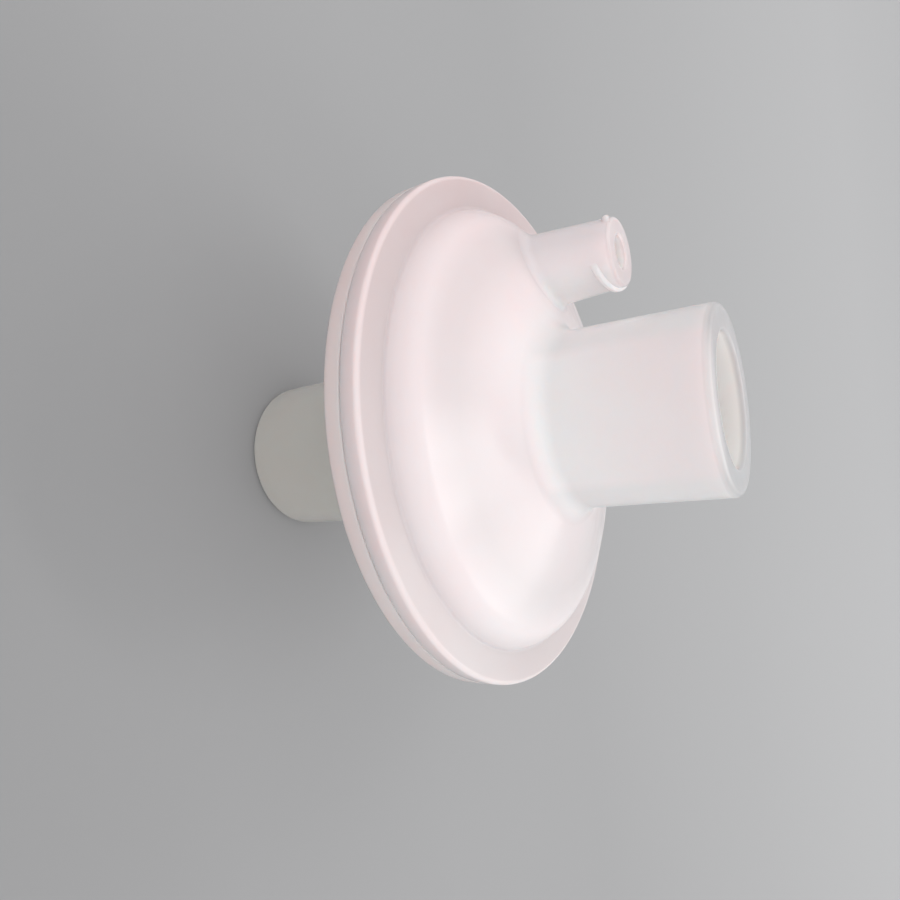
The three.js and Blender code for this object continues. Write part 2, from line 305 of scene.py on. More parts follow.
# ---------------------------------------------------------------- sections


def arc(centre_r, centre_h, radius, first, last, steps):
    """Points along an arc in the section plane, between two angles in degrees."""
    points = []
    for i in range(steps + 1):
        a = math.radians(first + (last - first) * i / steps)
        points.append((centre_r + radius * math.cos(a), centre_h + radius * math.sin(a)))
    return points


def parting_height(sizes):
    """Height of the plane midway between the two rims."""
    return FRONT_LOW.z - sizes.parting_gap / 2


def felt_size():
    """Radius and thickness of the felt."""
    return (FELT_HIGH.x - FELT_LOW.x) / 2, FELT_HIGH.z - FELT_LOW.z


class Dome:
    """The form of one dome, in heights above the parting plane."""

    def __init__(self, sizes, cone_degrees):
        self.slope = math.radians(cone_degrees)
        self.cone = cone_degrees
        self.face = sizes.parting_gap / 2 + sizes.flange_thickness
        self.foot_radius = sizes.flange_diameter / 2 - sizes.land_width
        self.round = sizes.shoulder_radius
        start = math.radians(SHOULDER_START)
        self.centre_r = self.foot_radius - self.round * math.sin(start)
        self.centre_h = self.face - self.round * math.cos(start)
        self.top_r = self.centre_r + self.round * math.sin(self.slope)
        self.top_h = self.centre_h + self.round * math.cos(self.slope)

    def cone_height(self, r):
        return self.top_h + (self.top_r - r) * math.tan(self.slope)

    def height(self, r, depth=0.0):
        """Height of the dome's outside at a radius, or of the surface that lies depth under it."""
        if r < self.top_r:
            return self.cone_height(r) - depth / math.cos(self.slope)
        reach = (self.round - depth) ** 2 - (r - self.centre_r) ** 2
        return self.centre_h + math.sqrt(max(reach, 0))


def outer_section(sizes, port, dome, tip):
    """From the parting line round the rim, over the dome and up to the port's end face."""
    rim = sizes.flange_diameter / 2
    gap = sizes.parting_line / 2
    edge = sizes.parting_edge
    fillet = sizes.foot_fillet
    rise = dome.face + fillet - dome.centre_h
    fillet_r = dome.centre_r + math.sqrt((dome.round + fillet) ** 2 - rise**2)
    meet = math.degrees(math.atan2(rise, fillet_r - dome.centre_r))
    tip_r = port.tip_diameter / 2
    port_r = tip_r + (tip - dome.cone_height(0)) * port.taper / 2 + sizes.port_fillet
    tangent_r = port_r - sizes.port_fillet * math.sin(dome.slope)
    port_h = dome.cone_height(tangent_r) + sizes.port_fillet * math.cos(dome.slope)
    return [
        *arc(rim - edge, gap + edge, edge, -90, 0, steps=3),
        *arc(rim - sizes.rim_edge, dome.face - sizes.rim_edge, sizes.rim_edge, 0, 90, steps=8),
        *arc(fillet_r, dome.face + fillet, fillet, 270, 180 + meet, steps=4),
        *arc(dome.centre_r, dome.centre_h, dome.round, meet, 90 - dome.cone, steps=14)[1:],
        *arc(port_r, port_h, sizes.port_fillet, 270 - dome.cone, 180, steps=10),
        *arc(tip_r - port.tip_round, tip - port.tip_round, port.tip_round, 0, 90, steps=10),
    ]


def inner_section(sizes, port, dome, tip, felt):
    """From the socket's mouth down the bore and along the dome's inside to the felt's pocket."""
    mouth_r = port.mouth_diameter / 2
    step = tip - port.socket_depth
    neck_r = port.neck_diameter / 2
    fillet = sizes.neck_fillet
    fillet_r = neck_r + fillet
    tangent_r = fillet_r - fillet * math.sin(dome.slope)
    fillet_h = dome.height(tangent_r, sizes.wall) - fillet * math.cos(dome.slope)
    clamp = felt[1] / 2 + sizes.clamp_clearance
    pocket_r = felt[0] + sizes.pocket_clearance
    step_r = mouth_r - port.socket_depth * port.taper / 2
    step_edge = 0.25 * MM
    under = dome.round - sizes.wall
    return [
        *arc(mouth_r + port.mouth_round, tip - port.mouth_round, port.mouth_round, 90, 180, steps=5),
        (step_r, step),
        (neck_r + step_edge, step),
        (neck_r, step - step_edge),
        *arc(fillet_r, fillet_h, fillet, 180, 90 - dome.cone, steps=8),
        *arc(dome.centre_r, dome.centre_h, under, 90 - dome.cone, 90 - SHOULDER_START, steps=8),
        (dome.foot_radius - sizes.wall, clamp),
        (pocket_r, clamp),
        (pocket_r, sizes.parting_line / 2),
    ]


def weld_outline(sizes, weld, half, far):
    """A square tongue or groove round the rim, from the inside out, with its far side at a height."""
    low = sizes.parting_line / 2
    middle = sizes.flange_diameter / 2 - weld.inset - weld.width / 2
    return [(middle - half, low), (middle - half, far), (middle + half, far), (middle + half, low)]


def groove_section(sizes, weld):
    """The weld groove in the front rim."""
    roof = weld.height - sizes.parting_line / 2 + weld.clearance
    return weld_outline(sizes, weld, weld.width / 2 + weld.clearance, roof)


def tongue_section(sizes, weld):
    """The weld tongue on the rear rim, which stands towards the front."""
    return weld_outline(sizes, weld, weld.width / 2, sizes.parting_line / 2 - weld.height)


# ---------------------------------------------------------------- mesh makers


def grid_faces(rings, around, closed):
    """Quads between rings of points; closed joins the last ring to the first."""
    faces = []
    for j in range(rings if closed else rings - 1):
        for i in range(around):
            a, b = j * around + i, j * around + (i + 1) % around
            up = ((j + 1) % rings) * around
            faces.append((a, b, up + (i + 1) % around, up + i))
    return faces


def cap(points, ring, around, hub):
    """Adds a hub point and gives the triangles that close a ring about it."""
    points.append(hub)
    last = len(points) - 1
    return [(ring * around + i, ring * around + (i + 1) % around, last) for i in range(around)]


def tidy_mesh(name, points, faces):
    """A mesh from points and faces, with its faces turned outwards."""
    mesh = bpy.data.meshes.new(name)
    mesh.from_pydata(points, [], faces)
    work = bmesh.new()
    work.from_mesh(mesh)
    bmesh.ops.remove_doubles(work, verts=work.verts, dist=1e-7)
    bmesh.ops.recalc_face_normals(work, faces=work.faces)
    work.to_mesh(mesh)
    work.free()
    return mesh


def new_object(name, mesh):
    made = bpy.data.objects.new(name, mesh)
    bpy.context.scene.collection.objects.link(made)
    return made


def turned(name, section, steps=TURN_STEPS, axis=(0.0, 0.0)):
    """A closed section turned about an upright axis. A section that ends on the axis is capped there."""
    open_ends = abs(section[0][0]) < 1e-9
    body = section[1:-1] if open_ends else section
    points = []
    for r, z in body:
        for i in range(steps):
            a = math.tau * i / steps
            points.append((axis[0] + r * math.cos(a), axis[1] + r * math.sin(a), z))
    faces = grid_faces(len(body), steps, not open_ends)
    if open_ends:
        for ring, z in ((0, section[0][1]), (len(body) - 1, section[-1][1])):
            faces += cap(points, ring, steps, (axis[0], axis[1], z))
    return new_object(name, tidy_mesh(name, points, faces))


def baked(target):
    """Replaces an object's mesh with what its modifiers make of it, and clears them."""
    graph = bpy.context.evaluated_depsgraph_get()
    graph.update()
    mesh = bpy.data.meshes.new_from_object(target.evaluated_get(graph), depsgraph=graph)
    target.modifiers.clear()
    old = target.data
    target.data = mesh
    bpy.data.meshes.remove(old)
    return target


def combine(target, tool, operation):
    """Joins or cuts with another solid, which is then removed."""
    cut = target.modifiers.new(operation.title(), "BOOLEAN")
    cut.object = tool
    cut.operation = operation
    cut.solver = "EXACT"
    baked(target)
    bpy.data.objects.remove(tool)
    return target


def smooth(target):
    mesh = target.data
    mesh.polygons.foreach_set("use_smooth", [True] * len(mesh.polygons))
    mesh.set_sharp_from_angle(angle=SMOOTH_ANGLE)
    mesh.update()


def finish_piece(piece, node, material):
    piece.data.materials.clear()
    piece.data.materials.append(material)
    smooth(piece)
    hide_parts(node)
    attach(piece, "root")


# ---------------------------------------------------------------- nodes


def fill(node, values):
    """Sets a node's inputs, by name or number."""
    for socket, value in values.items():
        node.inputs[socket].default_value = value


def new_node(tree, kind, values=None, **settings):
    """A node with its settings made and its inputs filled in."""
    made = tree.nodes.new(kind)
    for key, value in settings.items():
        setattr(made, key, value)
    fill(made, values or {})
    return made


def wire(tree, *rows):
    """Links each output to the input of the node that it stands before."""
    for output, node, socket in rows:
        tree.links.new(output, node.inputs[socket])


def new_tree(name, kind, inputs, outputs):
    """A node group with its sockets, what it is given and its last node. A socket may have a default."""
    tree = bpy.data.node_groups.new(name, kind)
    for in_out, rows in (("INPUT", inputs), ("OUTPUT", outputs)):
        for socket, form, *default in rows:
            made = tree.interface.new_socket(name=socket, in_out=in_out, socket_type="NodeSocket" + form)
            if default:
                made.default_value = default[0]
    return tree, new_node(tree, "NodeGroupInput").outputs, new_node(tree, "NodeGroupOutput")


# ---------------------------------------------------------------- ribs


def rib_plate(name, dome, sizes, ribs, felt, side, parting):
    """One rib: a plate from just over the felt up into the dome's wall."""
    low = felt[1] / 2 + ribs.clearance
    outer = dome.foot_radius - sizes.wall / 2
    steps = RIB_STEPS
    radii = [ribs.start_radius + (outer - ribs.start_radius) * i / steps for i in range(steps + 1)]
    outline = [(r, dome.height(r, sizes.wall / 2)) for r in radii]
    points, half = [], ribs.thickness / 2
    for y in (-half, half):
        points += [(r, y, parting + side * low) for r in radii]
        points += [(r, y, parting + side * h) for r, h in outline]
    count = steps + 1
    faces = []
    for i in range(steps):
        for first in (i, 2 * count + i):
            faces.append((first, first + 1, first + count + 1, first + count))
        faces.append((i, i + 1, 2 * count + i + 1, 2 * count + i))
        faces.append((count + i, count + i + 1, 3 * count + i + 1, 3 * count + i))
    faces.append((0, count, 3 * count, 2 * count))
    faces.append((steps, count + steps, 3 * count + steps, 2 * count + steps))
    return new_object(name, tidy_mesh(name, points, faces))


def rib_ring_tree():
    """Geometry nodes that repeat a rib evenly about the upright axis."""
    tree = bpy.data.node_groups.get("Rib Ring")
    if tree:
        return tree
    tree, given, result = new_tree(
        "Rib Ring",
        "GeometryNodeTree",
        [("Rib", "Geometry"), ("Count", "Int", 18), ("Material", "Material")],
        [("Ribs", "Geometry")],
    )
    spots = new_node(tree, "GeometryNodePoints")
    number = new_node(tree, "GeometryNodeInputIndex")
    turn = new_node(tree, "ShaderNodeMath", operation="DIVIDE")
    whole = new_node(tree, "ShaderNodeMath", {1: math.tau}, operation="MULTIPLY")
    facing = new_node(tree, "ShaderNodeCombineXYZ")
    copies = new_node(tree, "GeometryNodeInstanceOnPoints")
    real = new_node(tree, "GeometryNodeRealizeInstances")
    paint = new_node(tree, "GeometryNodeSetMaterial")
    wire(
        tree,
        (given["Count"], spots, "Count"),
        (number.outputs["Index"], turn, 0),
        (given["Count"], turn, 1),
        (turn.outputs[0], whole, 0),
        (whole.outputs[0], facing, "Z"),
        (spots.outputs[0], copies, "Points"),
        (given["Rib"], copies, "Instance"),
        (facing.outputs[0], copies, "Rotation"),
        (copies.outputs[0], real, 0),
        (real.outputs[0], paint, "Geometry"),
        (given["Material"], paint, "Material"),
        (paint.outputs[0], result, "Ribs"),
    )
    return tree


def rib_ring(name, dome, sizes, ribs, felt, side, parting, material):
    """All the ribs of one dome, as one plain mesh."""
    ring = rib_plate(name, dome, sizes, ribs, felt, side, parting)
    tree = rib_ring_tree()
    sockets = {item.name: item.identifier for item in tree.interface.items_tree if item.in_out == "INPUT"}
    repeat = ring.modifiers.new("Rib Ring", "NODES")
    repeat.node_group = tree
    repeat[sockets["Count"]] = ribs.count
    repeat[sockets["Material"]] = material
    return baked(ring)


# ---------------------------------------------------------------- sampling port


class Luer:
    """Where the sampling port stands and how wide it is at a height."""

    def __init__(self, sizes, dome, parting):
        self.x = sizes.axis_radius * math.cos(sizes.axis_angle)
        self.y = sizes.axis_radius * math.sin(sizes.axis_angle)
        self.tip = parting + dome.face + sizes.reach
        self.tip_r = sizes.tip_diameter / 2
        self.draft = math.tan(sizes.draft)
        self.dome = dome
        self.parting = parting

    def radius(self, z):
        return self.tip_r + (self.tip - z) * self.draft

    def ground(self, x, y):
        """Height of the dome under a point given from the port's axis."""
        return self.parting + self.dome.height(math.hypot(self.x + x, self.y + y))


def luer_outside(sizes, housing, luer):
    """The tube with a fillet at its foot that follows the dome, down to the middle of the wall.

    Each ring has a step out from the tube, a height, and where that height is counted: from the
    dome under it, along the tube as a share of its length, or from the end face.
    """
    steps = LUER_STEPS
    fillet = sizes.foot_fillet
    corner = sizes.tip_round
    base = luer.radius(luer.ground(0, 0))
    rings = [(base * part - luer.tip_r, -housing.wall / 2, "dome") for part in (0.35, 0.7)]
    rings.append((fillet, -housing.wall / 2, "dome"))
    rings += [(out, up, "dome") for out, up in arc(fillet, fillet, fillet, 267, 180, steps=10)]
    rings += [(0.0, i / 5, "tube") for i in range(1, 5)]
    rings += [(out, up, "end") for out, up in arc(-corner, -corner, corner, 0, 90, steps=5)]
    points = []
    for out, up, counted in rings:
        rise = fillet if counted == "tube" else up
        for i in range(steps):
            a = math.tau * i / steps
            c, s = math.cos(a), math.sin(a)
            if counted == "end":
                z = luer.tip + up
            else:
                z = luer.ground(base * c, base * s) + rise
                for _ in range(3):
                    r = luer.radius(z) + out
                    z = luer.ground(r * c, r * s) + rise
                if counted == "tube":
                    z += (luer.tip - corner - z) * up
            r = luer.radius(z) + out
            if counted == "dome" and out < 0:
                r = max(out + luer.tip_r, 0.0)
                z = luer.ground(r * c, r * s) + up
            points.append((luer.x + r * c, luer.y + r * s, z))
    faces = grid_faces(len(rings), steps, False)
    for ring, z in ((0, luer.ground(0, 0) - housing.wall / 2), (len(rings) - 1, luer.tip)):
        faces += cap(points, ring, steps, (luer.x, luer.y, z))
    return new_object("luer_outside", tidy_mesh("luer_outside", points, faces))


def luer_lug(sizes, luer, middle):
    """One thread lug: a rounded ridge that climbs round the port and fades at both ends."""
    steps, points = LUG_STEPS, []
    half_w = sizes.lug_width / 2
    climb = luer.tip_r * sizes.lug_span * math.tan(sizes.lug_lead)
    root, sunk = -0.45 * MM, 0.02 * MM
    # Each end fades over one part in this many of the lug's length.
    fade = 7
    # Corners of the ridge: out as a share of its height, or in metres at its root, then along as a share.
    shape = [(root, -1), (0.0, -1), (0.7, -0.72), (1.0, -0.35), (1.0, 0.35), (0.7, 0.72), (0.0, 1), (root, 1)]
    for i in range(steps + 1):
        t = i / steps
        a = middle + (t - 0.5) * sizes.lug_span
        z = luer.tip - sizes.lug_depth + climb * (t - 0.5)
        swell = math.sin(min(min(t, 1 - t) * fade, 1.0) * math.pi / 2)
        for out, along in shape:
            high = z + along * half_w
            r = luer.radius(high) + (out if out < 0 else out * sizes.lug_height * swell - sunk)
            points.append((luer.x + r * math.cos(a), luer.y + r * math.sin(a), high))
    n = len(shape)
    faces = grid_faces(steps + 1, n, False)
    faces.append(tuple(range(n)))
    faces.append(tuple(steps * n + j for j in range(n)))
    return new_object("luer_lug", tidy_mesh("luer_lug", points, faces))


def luer_bore(sizes, housing, luer):
    """The tapered socket and the narrow hole behind it, as the solid that is cut away."""
    mouth = sizes.mouth_diameter / 2
    floor = luer.tip - sizes.socket_depth
    hole = sizes.hole_diameter / 2
    below = luer.parting + housing.parting_gap
    lip = 0.2 * MM
    step = 0.3 * MM
    over = luer.tip + 1 * MM
    section = [
        (0, below),
        (hole, below),
        (hole, floor - step),
        (mouth - sizes.socket_depth * sizes.socket_taper / 2, floor),
        (mouth - lip * sizes.socket_taper / 2, luer.tip - lip),
        (mouth + lip, luer.tip),
        (mouth + lip, over),
        (0, over),
    ]
    return turned("luer_bore", section, BORE_STEPS, (luer.x, luer.y))


# ---------------------------------------------------------------- materials


def new_material(name):
    """A material that uses nodes, its tree and its shader."""
    material = bpy.data.materials.new(name)
    material.use_nodes = True
    return material, material.node_tree, material.node_tree.nodes["Principled BSDF"]


def moulding_haze_group():
    """Faint clouds, sheen changes and fine skin texture of a moulded plastic, with a painted shade that turns
    the side away from the lamps pinker, as a shared node group.
    """
    tree = bpy.data.node_groups.get("Moulding Haze")
    if tree:
        return tree
    inputs = [
        ("Tint", "Color"),
        ("Cast", "Float", 0.03),
        ("Lean", "Float", 0.0),
        ("Cloud Scale", "Float", 60),
        ("Roughness", "Float", 0.3),
        ("Skin", "Float", 0.1),
    ]
    outputs = [("Color", "Color"), ("Roughness", "Float"), ("Normal", "Vector")]
    tree, given, result = new_tree("Moulding Haze", "ShaderNodeTree", inputs, outputs)
    place = new_node(tree, "ShaderNodeTexCoord").outputs["Object"]
    clouds = new_node(tree, "ShaderNodeTexNoise", {"Detail": 3, "Roughness": 0.55})
    spread = new_node(tree, "ShaderNodeMapRange", {"From Min": 0.35, "From Max": 0.65})
    amount = new_node(tree, "ShaderNodeMath", operation="MULTIPLY")
    parts = new_node(tree, "ShaderNodeSeparateXYZ")
    # Painted shade: pinker towards -X, the side away from the lamps.
    side = new_node(tree, "ShaderNodeMapRange", {"From Min": 30 * MM, "From Max": -30 * MM})
    shade_pink_lean = new_node(tree, "ShaderNodeMath", operation="MULTIPLY_ADD")
    pink = new_node(tree, "ShaderNodeMix", data_type="RGBA", blend_type="MULTIPLY")
    fill(pink, {"B": (1, 0, 0, 1)})
    streaks = new_node(tree, "ShaderNodeTexNoise", {"Scale": 420, "Detail": 2})
    wear = new_node(tree, "ShaderNodeMapRange", {"To Min": -0.05, "To Max": 0.05})
    rough = new_node(tree, "ShaderNodeMath", operation="ADD")
    skin = new_node(tree, "ShaderNodeTexNoise", {"Scale": 1500, "Detail": 2})
    bump = new_node(tree, "ShaderNodeBump", {"Distance": 0.05 * MM})
    wire(
        tree,
        (place, clouds, "Vector"),
        (place, streaks, "Vector"),
        (place, skin, "Vector"),
        (place, parts, 0),
        (given["Cloud Scale"], clouds, "Scale"),
        (clouds.outputs["Fac"], spread, "Value"),
        (spread.outputs["Result"], amount, 0),
        (given["Cast"], amount, 1),
        (parts.outputs["X"], side, "Value"),
        (side.outputs["Result"], shade_pink_lean, 0),
        (given["Lean"], shade_pink_lean, 1),
        (amount.outputs[0], shade_pink_lean, 2),
        (shade_pink_lean.outputs[0], pink, "Factor"),
        (given["Tint"], pink, "A"),
        (streaks.outputs["Fac"], wear, "Value"),
        (wear.outputs["Result"], rough, 0),
        (given["Roughness"], rough, 1),
        (skin.outputs["Fac"], bump, "Height"),
        (given["Skin"], bump, "Strength"),
        (pink.outputs["Result"], result, "Color"),
        (rough.outputs[0], result, "Roughness"),
        (bump.outputs["Normal"], result, "Normal"),
    )
    return tree


def painted_light_tone_group():
    """The plastic's tint, painted place by place with light and shade: by radius, by height, by side and by
    nearness to the small port.
    """
    tree = bpy.data.node_groups.get("Wall Tone With Painted Light")
    if tree:
        return tree
    inputs = [(part, "Color") for part in (*BODY_TINTS, *PORT_TINTS)]
    inputs.append(("Small Port Axis", "Vector"))
    inputs += [(height, "Float") for height in ("Small End Height", "Port Height", "Port End Height")]
    tree, given, result = new_tree("Wall Tone With Painted Light", "ShaderNodeTree", inputs, [("Color", "Color")])
    place = new_node(tree, "ShaderNodeTexCoord").outputs["Object"]
    parts = new_node(tree, "ShaderNodeSeparateXYZ")
    flat = new_node(tree, "ShaderNodeVectorMath", {1: (1, 1, 0)}, operation="MULTIPLY")
    radial = new_node(tree, "ShaderNodeVectorMath", operation="LENGTH")
    beside = new_node(tree, "ShaderNodeVectorMath", operation="DISTANCE")
    across = new_node(tree, "ShaderNodeMath", operation="ABSOLUTE")
    wire(
        tree,
        (place, parts, 0),
        (place, flat, 0),
        (flat.outputs["Vector"], radial, 0),
        (flat.outputs["Vector"], beside, 0),
        (given["Small Port Axis"], beside, 1),
        (parts.outputs["X"], across, 0),
    )
    radial, beside, across = radial.outputs["Value"], beside.outputs["Value"], across.outputs[0]

    def above(height):
        """How far a place is above one of the given heights."""
        rise = new_node(tree, "ShaderNodeMath", operation="SUBTRACT")
        wire(tree, (parts.outputs["Z"], rise, 0), (given[height], rise, 1))
        return rise.outputs[0]

    def painted(tone, part, value, tint=None):
        """The tone, turned into the part's tint as the value crosses the part's border."""
        start, full = BORDERS[part]
        fade = new_node(tree, "ShaderNodeMapRange", {"From Min": start * MM, "From Max": full * MM})
        blend = new_node(tree, "ShaderNodeMix", data_type="RGBA")
        wire(
            tree,
            (value, fade, "Value"),
            (fade.outputs["Result"], blend, "Factor"),
            (tone, blend, "A"),
            (tint or given[part], blend, "B"),
        )
        return blend.outputs["Result"]

    # Painted light and shade on the large port: darker towards its tip, greyer on its sides along X, greyer
    # in its bore, and darker on its end face, most on its far side.
    port = painted(given["Port"], "Port Tip", above("Port Height"))
    port = painted(port, "Port Side", across)
    port = painted(port, "Bore", radial)
    ring = painted(given["Port End"], "Port End Far", parts.outputs["Y"])
    port = painted(port, "Port End", above("Port End Height"), ring)
    # Painted light round the port's foot, turned to painted shade on its side away from the sampling port.
    foot = painted(given["Port Foot"], "Port Foot Side", parts.outputs["X"])
    # Painted light on the sampling port's inner side and in its bore, painted shade on its end face.
    small = painted(given["Small Port"], "Small Port Side", parts.outputs["X"])
    small = painted(small, "Small Bore", beside)
    small = painted(small, "Small End", above("Small End Height"))
    # Painted light on the shoulder and the rim's edge, painted shade on the flat ring.
    tone = painted(given["Dome"], "Shoulder", radial)
    tone = painted(tone, "Land", radial)
    tone = painted(tone, "Rim", radial)
    tone = painted(tone, "Port Foot", radial, foot)
    tone = painted(tone, "Port", radial, port)
    tone = painted(tone, "Small Port", beside, small)
    wire(tree, (tone, result, "Color"))
    return tree


def milky_plastic(name, scene, tints, clearness, end_height):
    """Translucent polypropylene, whose tint carries painted light and shade place by place."""
    look, luer = scene.filter_plastic, scene.filter_luer
    material, tree, shader = new_material(name)
    tone = new_node(tree, "ShaderNodeGroup", node_tree=painted_light_tone_group())
    haze = new_node(tree, "ShaderNodeGroup", node_tree=moulding_haze_group())
    x, y = luer.axis_radius * math.cos(luer.axis_angle), luer.axis_radius * math.sin(luer.axis_angle)
    fill(tone, {part: (*tint, 1) for part, tint in tints.items()})
    fill(
        tone,
        {
            "Small Port Axis": (x, y, 0),
            "Small End Height": FRONT_LOW.z + SMALL_END_RISE,
            "Port Height": FRONT_LOW.z + PORT_TIP_RISE,
            "Port End Height": end_height,
        },
    )
    fill(haze, {"Cast": look.cast, "Lean": look.shade_pink_lean, "Roughness": look.roughness})
    fill(
        shader,
        {
            "IOR": 1.49,
            "Transmission Weight": clearness,
            "Subsurface Weight": 1.0,
            "Subsurface Radius": (1.0, 0.85, 0.8),
            "Subsurface Scale": look.scatter_depth,
        },
    )
    wire(
        tree,
        (tone.outputs["Color"], haze, "Tint"),
        (haze.outputs["Color"], shader, "Base Color"),
        (haze.outputs["Roughness"], shader, "Roughness"),
        (haze.outputs["Normal"], shader, "Normal"),
    )
    return material


def felt_material():
    """White electrostatic felt: matted fibres and a soft surface."""
    material, tree, shader = new_material("Filter Felt")
    place = new_node(tree, "ShaderNodeTexCoord").outputs["Object"]
    fibres = new_node(
        tree, "ShaderNodeTexNoise", {"Scale": 900, "Detail": 6, "Roughness": 0.7, "Distortion": 2.5}
    )
    shade = new_node(tree, "ShaderNodeValToRGB")
    shaded = ((0.3, (0.68, 0.66, 0.63)), (0.62, (0.86, 0.85, 0.82)))
    for stop, (position, tint) in zip(shade.color_ramp.elements, shaded):
        stop.position = position
        stop.color = (*tint, 1)
    nap = new_node(tree, "ShaderNodeBump", {"Strength": 0.6, "Distance": 0.2 * MM})
    fill(shader, {"Roughness": 0.95, "Sheen Weight": 0.25})
    wire(
        tree,
        (place, fibres, "Vector"),
        (fibres.outputs["Fac"], shade, "Fac"),
        (fibres.outputs["Fac"], nap, "Height"),
        (shade.outputs["Color"], shader, "Base Color"),
        (nap.outputs["Normal"], shader, "Normal"),
    )
    return material


def sweep_material(look):
    """A grey sweep that pales from the front of the floor towards the backdrop, with a painted pool of light
    round the filter.
    """
    material, tree, shader = new_material("Grey Sweep")
    place = new_node(tree, "ShaderNodeTexCoord").outputs["Object"]
    along = new_node(tree, "ShaderNodeVectorMath", {1: (0, 1, 1)}, operation="DOT_PRODUCT")
    first, last = SWEEP_FADE_SPAN
    reach = new_node(tree, "ShaderNodeMapRange", {"From Min": first, "From Max": last})
    fade = new_node(tree, "ShaderNodeValToRGB")
    stops = fade.color_ramp.elements
    for position, _ in SWEEP_FADE[1:-1]:
        stops.new(position)
    for stop, (position, level) in zip(stops, SWEEP_FADE):
        stop.position = position
        stop.color = (*[level * c for c in look.sweep], 1)
    # Painted light: the floor is paler round the filter, which lightens its shadow.
    away = new_node(tree, "ShaderNodeVectorMath", {1: PAINTED_LIGHT_POOL_MIDDLE}, operation="DISTANCE")
    painted_light_pool = new_node(tree, "ShaderNodeMapRange", interpolation_type="SMOOTHSTEP")
    fill(painted_light_pool, {"From Max": PAINTED_LIGHT_POOL_REACH, "To Min": 1 + PAINTED_LIGHT_POOL_GAIN, "To Max": 1})
    lift = new_node(tree, "ShaderNodeVectorMath", operation="SCALE")
    fill(shader, {"Roughness": 0.8})
    wire(
        tree,
        (place, along, 0),
        (along.outputs["Value"], reach, "Value"),
        (reach.outputs["Result"], fade, "Fac"),
        (place, away, 0),
        (away.outputs["Value"], painted_light_pool, "Value"),
        (fade.outputs["Color"], lift, 0),
        (painted_light_pool.outputs["Result"], lift, "Scale"),
        (lift.outputs["Vector"], shader, "Base Color"),
    )
    return material


# ---------------------------------------------------------------- operators


def housing(scene, name, dome, side, tip_height, weld_section, material):
    """A shell turned with its ribs: the side is 1 over the parting plane and -1 under it."""
    sizes, port = scene.filter_housing, scene.filter_port
    parting = parting_height(sizes)
    tip = side * (tip_height - parting)
    felt = felt_size()
    section = [
        *outer_section(sizes, port, dome, tip),
        *inner_section(sizes, port, dome, tip, felt),
        *weld_section(sizes, scene.filter_weld),
    ]
    shell = turned(name + "_housing", [(r, parting + side * h) for r, h in section])
    ribs = rib_ring(name + "_ribs", dome, sizes, scene.filter_ribs, felt, side, parting, material)
    return combine(shell, ribs, "UNION")


class FILTER_OT_front_shell(bpy.types.Operator):
    """Turn the front shell, with its ribs, weld groove and sampling port"""

    bl_idname = "filter.front_shell"
    bl_label = "Front Shell"

    def execute(self, context):
        scene = context.scene
        sizes, luer_sizes, look = scene.filter_housing, scene.filter_luer, scene.filter_plastic
        tints = {part: getattr(look, key) for part, key in (BODY_TINTS | PORT_TINTS).items()}
        end = FRONT_HIGH.z - PORT_END_DEPTH
        material = milky_plastic("Milky Polypropylene", scene, tints, look.front_clearness, end)
        dome = Dome(sizes, FRONT_CONE)
        shell = housing(scene, "front", dome, 1, FRONT_HIGH.z, groove_section, material)
        luer = Luer(luer_sizes, dome, parting_height(sizes))
        outside = luer_outside(luer_sizes, sizes, luer)
        for middle in (luer_sizes.axis_angle, luer_sizes.axis_angle + math.pi):
            combine(outside, luer_lug(luer_sizes, luer, middle), "UNION")
        combine(shell, outside, "UNION")
        combine(shell, luer_bore(luer_sizes, sizes, luer), "DIFFERENCE")
        finish_piece(shell, "front_shell", material)
        return {"FINISHED"}


class FILTER_OT_rear_shell(bpy.types.Operator):
    """Turn the rear shell, with its ribs and weld tongue"""

    bl_idname = "filter.rear_shell"
    bl_label = "Rear Shell"

    def execute(self, context):
        scene = context.scene
        look = scene.filter_plastic
        # The rear shell's cone gets its painted shade.
        tints = dict.fromkeys(BODY_TINTS, look.rear_rim) | dict.fromkeys(PORT_TINTS, look.rear_port_painted_shade)
        material = milky_plastic(
            "Clear Milky Polypropylene", scene, tints, look.rear_clearness, FRONT_HIGH.z
        )
        dome = Dome(scene.filter_housing, REAR_CONE)
        shell = housing(scene, "rear", dome, -1, REAR_LOW.z, tongue_section, material)
        finish_piece(shell, "rear_shell", material)
        return {"FINISHED"}


class FILTER_OT_filter_medium(bpy.types.Operator):
    """Cut the felt disc that lies between the shells"""

    bl_idname = "filter.filter_medium"
    bl_label = "Filter Medium"

    def execute(self, context):
        radius, thickness = felt_size()
        middle = (FELT_LOW.z + FELT_HIGH.z) / 2
        edge = thickness * FELT_ROUND
        half = thickness / 2
        section = [
            (0, middle - half),
            (radius * 0.5, middle - half),
            *[(r, middle + h) for r, h in arc(radius - edge, -half + edge, edge, 270, 360, steps=5)],
            *[(r, middle + h) for r, h in arc(radius - edge, half - edge, edge, 0, 90, steps=5)],
            (radius * 0.5, middle + half),
            (0, middle + half),
        ]
        felt = turned("felt_disc", section)
        finish_piece(felt, "filter_medium", felt_material())
        return {"FINISHED"}


class FILTER_OT_stage(bpy.types.Operator):
    """Set up the sweep, the soft lamps and the camera"""

    bl_idname = "filter.stage"
    bl_label = "Stage"

    def execute(self, context):
        scene = context.scene
        look = scene.filter_stage
        make_sweep(look)
        for row in STUDIO_LAMPS:
            add_lamp(scene, *row)
        light_world(scene, look)
        place_camera(scene, look)
        scene.view_settings.view_transform = "Standard"
        return {"FINISHED"}


